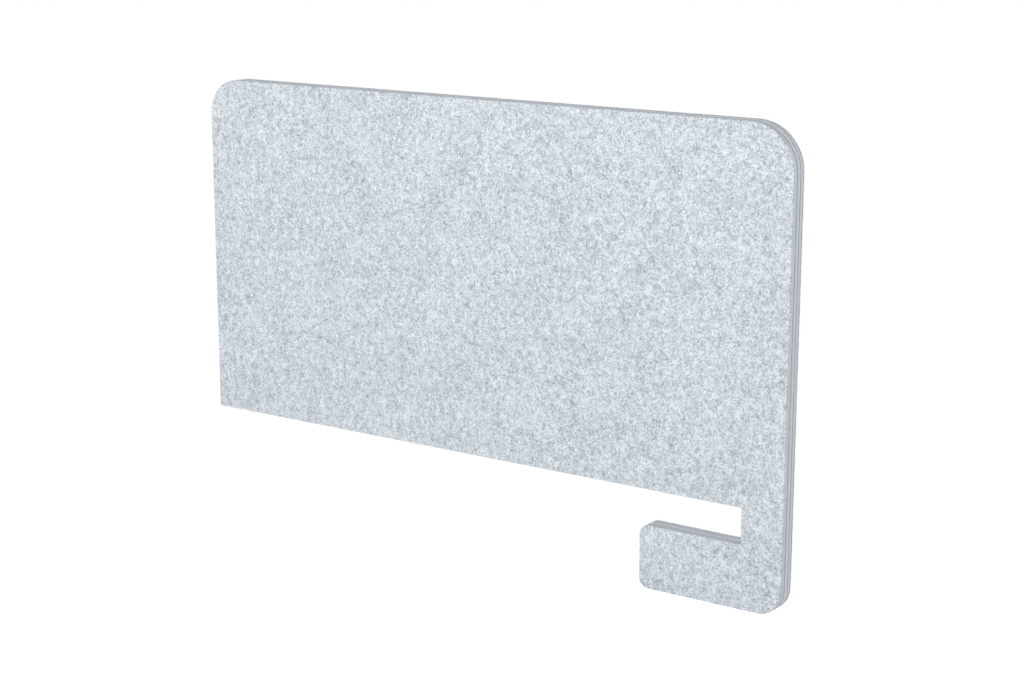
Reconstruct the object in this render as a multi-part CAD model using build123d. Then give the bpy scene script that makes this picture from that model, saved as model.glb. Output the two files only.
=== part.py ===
from build123d import *

import os

# A slide-on acoustic desk screen. A timber frame with sound absorbing infill is wrapped in fleece and
# felt. The front and the rear cover are joined by one zip, which runs round the whole edge. A leg at one
# end goes down past the panel's lower edge and carries a hook, and the slot between them takes a desk top.
#
# The origin is at the closed end of the slot, on the plane of the desk top, midway between the faces.
# X runs along the screen towards the leg's outer edge, Y goes from the front face to the rear face, and
# Z is up. "Far" is the end away from the leg. An inset is a distance from the crown of the zip inwards.

# Overall sizes, measured over the crown of the zip
overall_width = 1000.0
overall_thickness = 30.0
panel_height = 518.0
slot_height = 51.0
hook_height = 92.5
hook_reach = 158.0
leg_width = 63.0

# Corner radii of the outline
far_top_radius = 54.0
leg_top_radius = 66.0
leg_foot_radius = 35.0
hook_tip_radius = 15.0
tight_corner_radius = 1.5

# Covers
felt_thickness = 1.5
fleece_thickness = 1.5
felt_edge_radius = 2.4

# Frame
top_rail_height = 72.0
bottom_rail_height = 60.0
far_stile_width = 60.0
middle_stile_width = 45.0
board_lap = 40.0
tenon_thickness = 8.0
tenon_width_share = 0.6
tenon_length = 50.0
tenon_chamfer = 1.0
tenon_glue_gap = 0.05
tenon_end_gap = 1.0

# Zip: tapes and chain
tape_thickness = 0.7
chain_width = 9.6
chain_thickness = 3.0
chain_rise = 0.8
chain_edge_chamfer = 0.5

# Zip: stops at its two ends, on the far edge just above the lower corner
start_stop_height = 17.0
start_stop_length = 5.0
stop_wrap = 0.5
zip_end_gap = 3.0
end_stop_length = 3.5

# Zip: slider
slider_length = 19.0
slider_spread = 2.2
slider_split_share = 0.47
slider_gap = 0.3
wing_thickness = 1.3
wing_edge_radius = 0.4
flange_thickness = 1.0
mouth_corner_radius = 2.0
tail_corner_radius = 1.5
groove_gap = 0.4

# Zip: bridge on the slider, and the pull that hangs in it
bridge_width = 3.2
bridge_length = 7.2
bridge_thickness = 1.2
bridge_bend_radius = 1.6
bar_radius = 0.8
bar_gap = 0.25
pull_thickness = 1.5
pull_width = 8.0
pull_length = 30.0
pull_window_length = 6.4
pull_window_gap = 0.5
pull_tip_width = 6.0
pull_tip_radius = 2.4
pull_grip_depth = 0.3
pull_grip_border = 1.6

# Room for every cut to run past what it cuts
overrun = 20.0

# Places that follow from the sizes above
far_x = leg_width - overall_width
slot_floor_z = -slot_height
hook_low_z = slot_floor_z - hook_height
half_thickness = overall_thickness / 2
cover_depth = felt_thickness + fleece_thickness
frame_half_depth = half_thickness - cover_depth
tape_inset = chain_rise
frame_inset = tape_inset + tape_thickness
fleece_inset = tape_inset + felt_thickness
wing_inset = chain_thickness + slider_gap
groove_inset = wing_inset + wing_thickness + groove_gap
half_chain = chain_width / 2
channel_half_width = half_chain + slider_gap
slider_half_width = channel_half_width + flange_thickness
groove_half_width = slider_half_width + slider_spread + groove_gap
top_rail_low = panel_height - top_rail_height
far_stile_inner = far_x + far_stile_width
middle_stile_x = (far_stile_inner - board_lap) / 2

# Heights on the far edge, from the zip's start up to the tail of the parked slider
start_stop_top = start_stop_height + start_stop_length
end_stop_low = start_stop_top + zip_end_gap
end_stop_top = end_stop_low + end_stop_length
slider_mouth_z = end_stop_top + slider_gap
slider_tail_z = slider_mouth_z + slider_length
split_z = slider_mouth_z + slider_length * slider_split_share
spread_slope = slider_spread / (split_z - slider_mouth_z)

# The bar of the pull turns under the slider's bridge
wing_face = slider_gap + wing_thickness
bar_out = wing_face + bar_gap + bar_radius
bridge_inner = bar_out + bar_radius + bar_gap
bridge_top = bridge_inner + bridge_thickness
bar_x = far_x - bar_out
bar_z = slider_mouth_z + slider_length / 2
bridge_low_z = bar_z - bar_radius - bar_gap - bridge_thickness


def outline(inset):
    """The screen's side view as a face, moved in from the crown of the zip by an inset."""
    far, near = far_x + inset, leg_width - inset
    top, rest = panel_height - inset, inset
    tip, slot_end = inset - hook_reach, inset
    hook_top, hook_low = slot_floor_z - inset, hook_low_z + inset
    corners = [
        ((far, rest), tight_corner_radius - inset),
        ((far, top), far_top_radius - inset),
        ((near, top), leg_top_radius - inset),
        ((near, hook_low), leg_foot_radius - inset),
        ((tip, hook_low), hook_tip_radius - inset),
        ((tip, hook_top), hook_tip_radius - inset),
        ((slot_end, hook_top), tight_corner_radius + inset),
        ((slot_end, rest), tight_corner_radius + inset),
    ]
    points = [point for point, radius in corners]
    radii = [max(radius, 0) for point, radius in corners]
    return make_face(FilletPolyline(*points, radius=radii, close=True))


def slab(face, low_y, high_y):
    """A side view face made solid between two depths."""
    return extrude(Plane.XZ.offset(-high_y) * face, amount=high_y - low_y)


def block(low, high):
    """A box between its lowest and its highest corner."""
    size = [b - a for a, b in zip(low, high)]
    middle = [(a + b) / 2 for a, b in zip(low, high)]
    return Pos(*middle) * Box(*size)


def edge_plate(points, outer_inset, inner_inset):
    """A plate on the far edge: its (y, z) outline, made solid between two insets."""
    face = make_face(Polyline(*points, close=True))
    return extrude(Plane.YZ.offset(far_x + outer_inset) * face, amount=inner_inset - outer_inset)


# Frame


def frame_blank():
    """The whole frame's outer form, with the groove in its edge that the slider runs in."""
    board = slab(outline(frame_inset), -frame_half_depth, frame_half_depth)
    around = slab(outline(0), -groove_half_width, groove_half_width)
    within = slab(outline(groove_inset), -groove_half_width, groove_half_width)
    return board - (around - within)


def frame_region(low_x, high_x, low_z, high_z):
    """A box through the frame's whole depth."""
    depth = frame_half_depth + overrun
    return block((low_x, -depth, low_z), (high_x, depth, high_z))


def tenon_boxes(side_gap, end_gap):
    """A box at each joint of the frame: upright on the rails, and level at the bottom rail's ends."""
    stiles = [
        (far_x, far_stile_inner),
        (middle_stile_x - middle_stile_width / 2, middle_stile_x + middle_stile_width / 2),
        (-board_lap, leg_width),
    ]
    joints = [(Pos((low + high) / 2, 0, top_rail_low), high - low) for low, high in stiles]
    joints.append((Pos(middle_stile_x, 0, bottom_rail_height), middle_stile_width))
    rail_width = bottom_rail_height - groove_inset
    for x in (far_stile_inner, -board_lap):
        joints.append((Pos(x, 0, groove_inset + rail_width / 2) * Rot(0, 90, 0), rail_width))
    thickness, length = tenon_thickness + 2 * side_gap, tenon_length + 2 * end_gap
    shapes = [Box(width * tenon_width_share + 2 * side_gap, thickness, length) for place, width in joints]
    return [place * shape for (place, width), shape in zip(joints, shapes)]


def frame_tenons():
    """The loose beech tenons of all joints, with chamfered edges."""
    return [chamfer(tenon.edges(), tenon_chamfer) for tenon in tenon_boxes(0, 0)]


def mortises():
    """The mortises for the tenons, longer by a gap at each end."""
    return tenon_boxes(tenon_glue_gap, tenon_end_gap)


def top_rail():
    """The full-width rail that holds both large round corners."""
    across = frame_region(far_x - overrun, leg_width + overrun, top_rail_low, panel_height + overrun)
    return (frame_blank() & across) - mortises()


def bottom_rail():
    """The rail above the desk top, between the far stile and the hook board."""
    across = frame_region(far_stile_inner, -board_lap, -overrun, bottom_rail_height)
    return (frame_blank() & across) - mortises()


def far_stile():
    """The upright at the far end, under the top rail."""
    upright = frame_region(far_x - overrun, far_stile_inner, -overrun, top_rail_low)
    return (frame_blank() & upright) - mortises()


def middle_stile():
    """The upright between the two bays."""
    half = middle_stile_width / 2
    upright = frame_region(middle_stile_x - half, middle_stile_x + half, bottom_rail_height, top_rail_low)
    return (frame_blank() & upright) - mortises()


def hook_board():
    """Leg, hook and the stile above them, cut from one board so that the slot's corners have no joint."""
    stile = frame_region(-board_lap, leg_width + overrun, 0, top_rail_low)
    below = frame_region(-hook_reach - overrun, leg_width + overrun, hook_low_z - overrun, 0)
    return (frame_blank() & (stile + below)) - mortises()


def infill(low_x, high_x):
    """A sound absorbing board, cut to fill its bay."""
    return block(
        (low_x, -frame_half_depth, bottom_rail_height),
        (high_x, frame_half_depth, top_rail_low),
    )


def far_infill():
    """The board between the far stile and the middle stile."""
    return infill(far_stile_inner, middle_stile_x - middle_stile_width / 2)


def leg_infill():
    """The board between the middle stile and the hook board."""
    return infill(middle_stile_x + middle_stile_width / 2, -board_lap)


# Covers


def front_fleece():
    """The thin soft layer on the frame's front."""
    return slab(outline(fleece_inset), felt_thickness - half_thickness, -frame_half_depth)


def front_cover():
    """The felt face with its rim turned over the edge, down to the zip tape."""
    felt = slab(outline(tape_inset), -half_thickness, -frame_half_depth)
    face_edge = felt.faces().sort_by(Axis.Y)[0].outer_wire().edges()
    return fillet(face_edge, felt_edge_radius) - front_fleece()


# Zip


def far_edge_gap(low_z, high_z):
    """A cutting box over the far edge between two heights."""
    depth = half_thickness + overrun
    return block((far_x - overrun, -depth, low_z), (far_x + overrun, depth, high_z))


def front_chain_tail():
    """The last teeth of the front half chain, which the slider's wedge holds apart, down to the end stop."""
    spread = (split_z - end_stop_top) * spread_slope
    points = [
        (0, split_z),
        (-half_chain, split_z),
        (-half_chain - spread, end_stop_top),
        (-spread, end_stop_top),
    ]
    return edge_plate(points, 0, chain_thickness)


def front_zip_chain():
    """One half of the chain: from the start stop, down round the whole edge, to the end stop."""
    ring = slab(outline(0) - outline(chain_thickness), -half_chain, 0)
    crown_edge = ring.faces().sort_by(Axis.Y)[0].outer_wire().edges()
    ring = chamfer(crown_edge, chain_edge_chamfer)
    return ring - far_edge_gap(start_stop_height, split_z) + front_chain_tail()


def front_end_stop():
    """The clamp on the tape's edge that the slider's mouth meets when the zip is closed."""
    spread = (split_z - end_stop_top) * spread_slope
    inner, outer = stop_wrap - spread, -half_chain - spread - stop_wrap
    points = [(inner, end_stop_low), (outer, end_stop_low), (outer, end_stop_top), (inner, end_stop_top)]
    stop = edge_plate(points, -stop_wrap, chain_thickness + stop_wrap)
    return chamfer(stop.edges().filter_by(Axis.X), stop_wrap / 2)


def zip_end_stops():
    """Both end stops."""
    stop = front_end_stop()
    return [stop, mirror(stop, about=Plane.XZ)]


def zip_start_stop():
    """The clamp round both half chains where the zip begins."""
    half = half_chain + stop_wrap
    points = [
        (-half, start_stop_height),
        (half, start_stop_height),
        (half, start_stop_top),
        (-half, start_stop_top),
    ]
    stop = edge_plate(points, -stop_wrap, chain_thickness + stop_wrap)
    return chamfer(stop.edges().filter_by(Axis.X), stop_wrap)


def front_zip_tape():
    """The woven band between the front cover's rim and its half chain."""
    band = slab(outline(tape_inset) - outline(frame_inset), -frame_half_depth, -half_chain)
    return band - front_chain_tail() - front_end_stop() - zip_start_stop()


def slider_plan(half_width, past=0):
    """The slider's plan as (y, z) points: straight at the tail, spread at the mouth, and longer by past."""
    low, high = slider_mouth_z - past, slider_tail_z + past
    spread_half = half_width + (split_z - low) * spread_slope
    return [
        (-half_width, high),
        (-half_width, split_z),
        (-spread_half, low),
        (spread_half, low),
        (half_width, split_z),
        (half_width, high),
    ]


def slider_wing(outer_inset, inner_inset):
    """One wing of the slider, with its corners rounded."""
    wing = edge_plate(slider_plan(slider_half_width), outer_inset, inner_inset)
    mouth = wing.edges().filter_by(Axis.X).group_by(Axis.Z)[0]
    wing = fillet(mouth, mouth_corner_radius)
    tail = wing.edges().filter_by(Axis.X).group_by(Axis.Z)[-1]
    return fillet(tail, tail_corner_radius)


def slider_channel(outer_inset, inner_inset):
    """The room that the half chains take between the slider's flanges, open at both ends."""
    return edge_plate(slider_plan(channel_half_width, overrun), outer_inset, inner_inset)


def slider_wedge():
    """The wedge in the slider's mouth, which joins the wings and parts the half chains."""
    half = slider_spread - slider_gap
    tip_z = split_z - slider_gap / spread_slope
    points = [(0, tip_z), (-half, slider_mouth_z), (half, slider_mouth_z)]
    return edge_plate(points, -slider_gap - wing_thickness / 2, wing_inset + wing_thickness / 2)


def slider_bridge():
    """The arch on the outer wing that holds the pull's bar."""
    low, high = bridge_low_z, bridge_low_z + bridge_length
    foot = wing_face - wing_thickness / 2
    half = bridge_width / 2
    arch = block((far_x - bridge_top, -half, low), (far_x - foot, half, high))
    bends = arch.edges().filter_by(Axis.Y).group_by(Axis.X)[0]
    hole = block(
        (far_x - bridge_inner, -half - overrun, low + bridge_thickness),
        (far_x - foot + overrun, half + overrun, high - bridge_thickness),
    )
    return fillet(bends, bridge_bend_radius) - hole


def zip_slider():
    """The cast slider: two flanged wings, the wedge between them, and the bridge on the outer one."""
    outer_wing = slider_wing(-wing_face, tape_inset - slider_gap)
    rim = outer_wing.faces().sort_by(Axis.X)[0].outer_wire().edges()
    outer_wing = fillet(rim, wing_edge_radius) - slider_channel(-slider_gap, chain_thickness)
    inner_wing = slider_wing(frame_inset + slider_gap, wing_inset + wing_thickness)
    inner_wing = inner_wing - slider_channel(0, wing_inset)
    return outer_wing + inner_wing + slider_wedge() + slider_bridge()


def tab_plan(half_top, top_z, half_low, low_z):
    """A tapered plan as (y, z) points."""
    return [(-half_top, top_z), (-half_low, low_z), (half_low, low_z), (half_top, top_z)]


def zip_pull():
    """The pull, hanging down: a bar under the bridge, two arms, and a tapered tab with a sunk grip."""
    half, tip_half = pull_width / 2, pull_tip_width / 2
    neck_z, low_z = bar_z - pull_window_length, bar_z - pull_length
    outer_inset = -bar_out - pull_thickness / 2
    inner_inset = outer_inset + pull_thickness
    tab = edge_plate(tab_plan(half, neck_z, tip_half, low_z), outer_inset, inner_inset)
    tab = fillet(tab.edges().filter_by(Axis.X).group_by(Axis.Z)[0], pull_tip_radius)
    window_half = bridge_width / 2 + pull_window_gap
    arms = edge_plate(tab_plan(half, bar_z, half, neck_z), outer_inset, inner_inset)
    arms = arms - edge_plate(tab_plan(window_half, bar_z, window_half, neck_z), outer_inset, inner_inset)
    bar = Pos(bar_x, 0, bar_z) * Rot(90, 0, 0) * Cylinder(bar_radius, pull_width)
    border = pull_grip_border
    grip_plan = tab_plan(half - border, neck_z - border, tip_half - border, low_z + border)
    grip = edge_plate(grip_plan, outer_inset, outer_inset + pull_grip_depth)
    grip = fillet(grip.edges().filter_by(Axis.X), border / 2)
    return tab + arms + bar - grip


def rear(front):
    """The same piece on the rear side."""
    return mirror(front, about=Plane.XZ)


def nodes():
    """Every piece under its own name. A group of like pieces is a list."""
    fleece, cover, tape, chain = front_fleece(), front_cover(), front_zip_tape(), front_zip_chain()
    return {
        "hook_board": hook_board(),
        "top_rail": top_rail(),
        "bottom_rail": bottom_rail(),
        "far_stile": far_stile(),
        "middle_stile": middle_stile(),
        "far_infill": far_infill(),
        "leg_infill": leg_infill(),
        "frame_tenons": frame_tenons(),
        "front_fleece": fleece,
        "rear_fleece": rear(fleece),
        "front_cover": cover,
        "rear_cover": rear(cover),
        "front_zip_tape": tape,
        "rear_zip_tape": rear(tape),
        "front_zip_chain": chain,
        "rear_zip_chain": rear(chain),
        "zip_end_stops": zip_end_stops(),
        "zip_start_stop": zip_start_stop(),
        "zip_slider": zip_slider(),
        "zip_pull": zip_pull(),
    }


def main():
    """Writes one STEP file for each node."""
    os.makedirs("parts", exist_ok=True)
    for name, shape in nodes().items():
        pieces = shape if isinstance(shape, list) else [shape]
        solids = [solid for piece in pieces for solid in piece.solids()]
        whole = solids[0] if len(solids) == 1 else Compound(solids)
        export_step(whole, f"parts/{name}.step")
        print(name, len(solids), "solid" if len(solids) == 1 else "solids", round(whole.volume))
    top_of_run = panel_height - far_top_radius - slider_tail_z
    print("straight run left above the parked slider", round(top_of_run, 1))
    print("pull turns about x", round(bar_x, 2), "z", round(bar_z, 2))


main()
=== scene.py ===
# %% [markdown]
# This lesson dresses a felt-covered desk screen in Blender. The screen slides over the edge of a
# desk top: a tall panel stands on the desk, a leg goes down past the desk's edge, and a hook holds
# it from below. The frame, the zip's slider and its stops come from the imported CAD model and stay
# as they are. The soft pieces, which are felt, fleece, fibre boards and the zip itself, are made
# here in the space that the CAD keeps for them. Sizes are written in millimetres, and MM turns them
# into Blender's metres. Only the camera, the lamps and the floor are placed in metres.

import math

import bmesh
import bpy
import numpy as np
from mathutils import Matrix, Vector
from mathutils.geometry import delaunay_2d_cdt
from mathutils.kdtree import KDTree


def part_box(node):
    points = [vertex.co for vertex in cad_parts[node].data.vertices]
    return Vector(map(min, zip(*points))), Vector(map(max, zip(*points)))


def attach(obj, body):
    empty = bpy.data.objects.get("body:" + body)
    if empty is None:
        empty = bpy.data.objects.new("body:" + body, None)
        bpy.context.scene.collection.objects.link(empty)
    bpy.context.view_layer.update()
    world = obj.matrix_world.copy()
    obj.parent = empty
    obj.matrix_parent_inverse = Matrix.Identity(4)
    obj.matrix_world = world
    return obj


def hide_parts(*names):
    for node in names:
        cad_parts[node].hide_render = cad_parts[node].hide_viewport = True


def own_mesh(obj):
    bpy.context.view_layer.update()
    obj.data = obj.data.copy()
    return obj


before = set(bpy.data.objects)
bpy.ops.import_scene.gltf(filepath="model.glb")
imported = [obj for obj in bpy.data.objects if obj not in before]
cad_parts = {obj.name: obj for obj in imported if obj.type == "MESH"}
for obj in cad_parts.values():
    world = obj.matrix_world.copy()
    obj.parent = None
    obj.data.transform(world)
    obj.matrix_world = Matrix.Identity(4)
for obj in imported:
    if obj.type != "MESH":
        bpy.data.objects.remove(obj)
scene = bpy.context.scene
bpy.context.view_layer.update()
MM = 0.001

# %% [markdown]
# The camera comes first, because everything is judged through it. It could be moved by hand until
# the picture looks right, but a photograph's perspective can be worked out from straight edges of a
# known object. Here the panel's four edges and the slot gave the camera's place, its three angles
# and its focal length, for a picture 1024 pixels wide.

# %% Camera
CAMERA_PLACE = Vector((1.24339, -2.33904, 0.83305))
CAMERA_YAW, CAMERA_PITCH, CAMERA_ROLL = (math.radians(a) for a in (-34.8149, 13.013, -0.0629))
FOCAL_LENGTH, SENSOR_WIDTH = 72.118, 36
SCREEN_MIDDLE = (-0.44, 0, 0.19)


def add_object(name, data):
    """A new object in the scene."""
    made = bpy.data.objects.new(name, data)
    scene.collection.objects.link(made)
    return made


forward = Vector((
    math.sin(CAMERA_YAW) * math.cos(CAMERA_PITCH),
    math.cos(CAMERA_YAW) * math.cos(CAMERA_PITCH),
    -math.sin(CAMERA_PITCH),
))
across = Vector((math.cos(CAMERA_YAW), -math.sin(CAMERA_YAW), 0))
upward = across.cross(forward)
roll = Matrix.Rotation(CAMERA_ROLL, 3, forward)
camera = add_object("camera", bpy.data.cameras.new("camera"))
camera.data.lens = FOCAL_LENGTH
camera.data.sensor_width = SENSOR_WIDTH
axes = Matrix((roll @ across, roll @ upward, -forward)).transposed()
camera.matrix_world = Matrix.Translation(CAMERA_PLACE) @ axes.to_4x4()
scene.camera = camera
distance = (CAMERA_PLACE - Vector(SCREEN_MIDDLE)).length
print("camera is", round(distance, 3), "m from the screen's middle")

# %% [markdown]
# Every finish starts from sRGB hex values, as a paint or yarn card gives them. Shaders work in
# linear light, so one function turns hex to linear. A second function adds a shader node with its
# settings and links, and a third starts a finish: a Principled shader whose plain values sit on its
# own sockets, and the place on the object, in metres, that all patterns are drawn from. Most
# finishes end alike, with a colour that changes between two tones and a fine relief, so a fourth
# function does both. The last one turns real sizes in millimetres into the scales of patterns.

# %% Helpers for finishes


def linear(hex_colour):
    """An sRGB hex colour as linear red, green, blue and alpha, by the sRGB standard's curve."""
    parts = [int(hex_colour[i:i + 2], 16) / 255 for i in (1, 3, 5)]
    return (*[p / 12.92 if p <= 0.04045 else ((p + 0.055) / 1.055) ** 2.4 for p in parts], 1)


def put(tree, kind, settings=None, inputs=None):
    """Adds a shader node, sets its settings, and gives each input a value or a link."""
    made = tree.nodes.new(kind)
    for name, value in (settings or {}).items():
        setattr(made, name, value)
    for name, value in (inputs or {}).items():
        if isinstance(value, bpy.types.NodeSocket):
            tree.links.new(value, made.inputs[name])
        else:
            made.inputs[name].default_value = value
    return made


def start_finish(name, **values):
    """A new material with its tree, its shader and the object's own coordinates in metres."""
    material = bpy.data.materials.new(name)
    material.use_nodes = True
    tree = material.node_tree
    shader = tree.nodes["Principled BSDF"]
    for socket, value in values.items():
        shader.inputs[socket.replace("_", " ")].default_value = value
    return material, tree, shader, put(tree, "ShaderNodeTexCoord").outputs["Object"]


# A Mix node has sockets for several kinds of data. These are the numbers of its colour sockets.
MIX_SHARE, MIX_FIRST, MIX_SECOND, MIX_RESULT = 0, 6, 7, 2


def end_finish(tree, shader, share, tones, height, strength, depth_mm):
    """Mixes the shader's colour from two tones by a share, and roughens its surface by a height."""
    colour = put(tree, "ShaderNodeMix", {"data_type": "RGBA"}, {
        MIX_SHARE: share, MIX_FIRST: linear(tones[0]), MIX_SECOND: linear(tones[1]),
    })
    relief = put(tree, "ShaderNodeBump", inputs={
        "Strength": strength, "Distance": depth_mm * MM, "Height": height,
    })
    tree.links.new(colour.outputs[MIX_RESULT], shader.inputs["Base Color"])
    tree.links.new(relief.outputs["Normal"], shader.inputs["Normal"])


def per_mm(*sizes):
    """Scales that repeat a pattern once in each of these lengths, given in millimetres."""
    return tuple(1 / (size * MM) for size in sizes)


print("helpers for finishes ready")

# %% [markdown]
# The felt is a melange: white and grey fibres are blended before they are pressed, so the colour is
# cloudy at every scale. A picture of felt could be laid over it, but a picture repeats and has no
# detail up close, so three noises are added up. The first holds flocks of about 10 mm and the tufts
# inside them, down to 1.2 mm, drawn out a little along the way the web was laid. The second is
# bundles of fibres, drawn as coarse as a render can show, because one fibre is far thinner than a
# pixel. The third is a slow change of the blend. Single curly hairs lie over all of it. They are
# the thin lines where a twisted noise is near its middle value, about 0.1 mm wide, so they show
# only from close by. Wool scatters light softly, so the finish is rough, with a faint sheen.

# %% Finish: melange wool felt
FELT_DARK, FELT_LIGHT = "#9AA3AB", "#F3F9FF"
FLOCK_MM, FLOCK_LENGTH_MM, FIBRE_MM, CLOUD_MM, HAIR_MM, NAP_MM = 9, 10.5, 2.4, 60, 1.3, 0.15
WEB_SLANT = math.radians(-14)
FIBRE_SHARE, CLOUD_SHARE, HAIR_SHARE = 0.68, 0.12, 0.16
NOISE_MIDDLE, HAIR_BAND = 0.5, 0.035
BLEND_DARK, BLEND_LIGHT = 0.675, 1.185


def make_felt():
    """The felt's finish: flocks with fibres, clouds and hairs added to them."""
    material, tree, shader, place = start_finish(
        "felt_melange_wool",
        Roughness=0.95, Specular_IOR_Level=0.2, Sheen_Weight=0.15, Sheen_Roughness=0.6,
    )
    laid = put(tree, "ShaderNodeMapping", inputs={
        "Vector": place, "Rotation": (0, WEB_SLANT, 0),
        "Scale": per_mm(FLOCK_MM, FLOCK_MM, FLOCK_LENGTH_MM),
    })
    tufts = put(tree, "ShaderNodeTexNoise", inputs={
        "Vector": laid.outputs["Vector"],
        "Scale": 1, "Detail": 3, "Roughness": 1.0, "Distortion": 0.4,
    })
    noises = []
    for size_mm, detail, distortion in ((FIBRE_MM, 1, 0), (CLOUD_MM, 2, 0), (HAIR_MM, 2, 2.5)):
        scaled = put(tree, "ShaderNodeMapping", inputs={
            "Vector": place, "Scale": per_mm(size_mm, size_mm, size_mm),
        })
        noises.append(put(tree, "ShaderNodeTexNoise", inputs={
            "Vector": scaled.outputs["Vector"],
            "Scale": 1, "Detail": detail, "Distortion": distortion,
        }).outputs["Fac"])
    fibres, clouds, twisted = noises
    hairs = put(tree, "ShaderNodeMath", {"operation": "COMPARE"}, {
        0: twisted, 1: NOISE_MIDDLE, 2: HAIR_BAND,
    }).outputs["Value"]
    blend = tufts.outputs["Fac"]
    for layer, share in ((fibres, FIBRE_SHARE), (clouds, CLOUD_SHARE), (hairs, HAIR_SHARE)):
        blend = put(tree, "ShaderNodeMath", {"operation": "MULTIPLY_ADD"}, {
            0: layer, 1: share, 2: blend,
        }).outputs["Value"]
    shade = put(tree, "ShaderNodeMapRange", inputs={
        "Value": blend, "From Min": BLEND_DARK, "From Max": BLEND_LIGHT,
    })
    tones = (FELT_DARK, FELT_LIGHT)
    end_finish(tree, shader, shade.outputs["Result"], tones, blend, strength=0.5, depth_mm=NAP_MM)
    return material


felt = make_felt()
print("finish", felt.name, "flocks", FLOCK_MM, "x", FLOCK_LENGTH_MM, "mm")

# %% [markdown]
# The zip's tapes are woven polyester in a herringbone, dyed to go with the felt. From outside they
# are smooth and plain beside it. Threads could be modelled one by one, but there would be millions,
# so the weave is a pattern. It is finer than a render can show, so it is drawn at 1.2 mm, about
# twice its real size: two wave patterns lean against each other and meet in ribs along the tape.

# %% Finish: woven polyester tape
# The darker tone is painted shade in the hollows between the weave's ribs.
TAPE_HOLLOW_SHADE, TAPE_COLOUR = "#C4CBD2", "#D0D6DD"
WEAVE_MM, WEAVE_DEPTH_MM = 1.2, 0.1
LEAN = math.radians(45)
# The wave texture repeats once in this length of its own units.
WAVE_PERIOD = math.pi / 10


def make_tape():
    """The tapes' finish: the higher of two leaning waves, with painted shade where both are low."""
    material, tree, shader, place = start_finish(
        "polyester_tape_woven", Roughness=0.75, Specular_IOR_Level=0.35, Sheen_Weight=0.1,
    )
    threads = []
    for turn in (LEAN, -LEAN):
        leaning = put(tree, "ShaderNodeMapping", inputs={
            "Vector": place, "Rotation": (turn, LEAN, 0),
        })
        threads.append(put(tree, "ShaderNodeTexWave", {"bands_direction": "Z"}, {
            "Vector": leaning.outputs["Vector"],
            "Scale": per_mm(WEAVE_MM)[0] * WAVE_PERIOD, "Distortion": 1, "Detail": 1,
        }).outputs["Fac"])
    weave = put(tree, "ShaderNodeMath", {"operation": "MAXIMUM"}, {
        0: threads[0], 1: threads[1],
    }).outputs["Value"]
    # Painted shade in the hollows, and the tape's own colour on the ribs.
    tones = (TAPE_HOLLOW_SHADE, TAPE_COLOUR)
    end_finish(tree, shader, weave, tones, weave, strength=0.4, depth_mm=WEAVE_DEPTH_MM)
    return material


tape_woven = make_tape()
print("finish", tape_woven.name, "drawn at", WEAVE_MM, "mm")

# %% [markdown]
# The coil is one long polyester monofilament, wound and pressed hot, then dyed with the tape. It is
# smoother than cloth and gets a soft gloss. One even colour would look like moulded plastic, so it
# has the faint streaks that the die leaves along a drawn filament. The sewing thread and the filler
# cord are spun, and so a little rougher.

# %% Finishes: coil and thread


def make_streaked(name, tones, streak_mm, depth_mm, **values):
    """A finish whose colour and relief run in fine uneven streaks."""
    material, tree, shader, place = start_finish(name, **values)
    drawn = put(tree, "ShaderNodeMapping", inputs={"Vector": place, "Scale": per_mm(*streak_mm)})
    streaks = put(tree, "ShaderNodeTexNoise", inputs={
        "Vector": drawn.outputs["Vector"], "Scale": 1, "Detail": 3,
    }).outputs["Fac"]
    end_finish(tree, shader, streaks, tones, streaks, strength=0.3, depth_mm=depth_mm)
    return material


coil_filament = make_streaked(
    "polyester_coil_drawn", ("#DBE0E7", "#E6EAEF"), streak_mm=(0.5, 3, 0.5), depth_mm=0.02,
    Roughness=0.42, IOR=1.57,
)
sewing_thread = make_streaked(
    "polyester_thread_spun", ("#D5DAE0", "#E4E8ED"), streak_mm=(0.3, 0.3, 0.3), depth_mm=0.05,
    Roughness=0.8, Specular_IOR_Level=0.3,
)
print("finishes", coil_filament.name, sewing_thread.name)

# %% [markdown]
# The outline of the screen, seen from the side, is straight runs joined by quarter circles. The
# line that matters is the crown, which is the outermost line of the zip and runs all round. A
# Blender curve could carry a section round it, but the zip's stretches have to begin and end at
# exact heights, so the line is worked out here from the outline's corners and their radii.

# %% Outline and its crown line
FAR_X, LEG_X, TOP_Z, REST_Z = -937, 63, 518, 0
SLOT_END_X, SLOT_FLOOR_Z, HOOK_LOW_Z, HOOK_TIP_X = 0, -51, -143.5, -158
TIGHT_RADIUS = 1.5
CORNERS = [  # place and radius, going up the far edge first
    ((FAR_X, REST_Z), TIGHT_RADIUS),
    ((FAR_X, TOP_Z), 54),
    ((LEG_X, TOP_Z), 66),
    ((LEG_X, HOOK_LOW_Z), 35),
    ((HOOK_TIP_X, HOOK_LOW_Z), 15),
    ((HOOK_TIP_X, SLOT_FLOOR_Z), 15),
    ((SLOT_END_X, SLOT_FLOOR_Z), TIGHT_RADIUS),
    ((SLOT_END_X, REST_Z), TIGHT_RADIUS),
]
QUARTER_TURN = math.pi / 2


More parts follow.
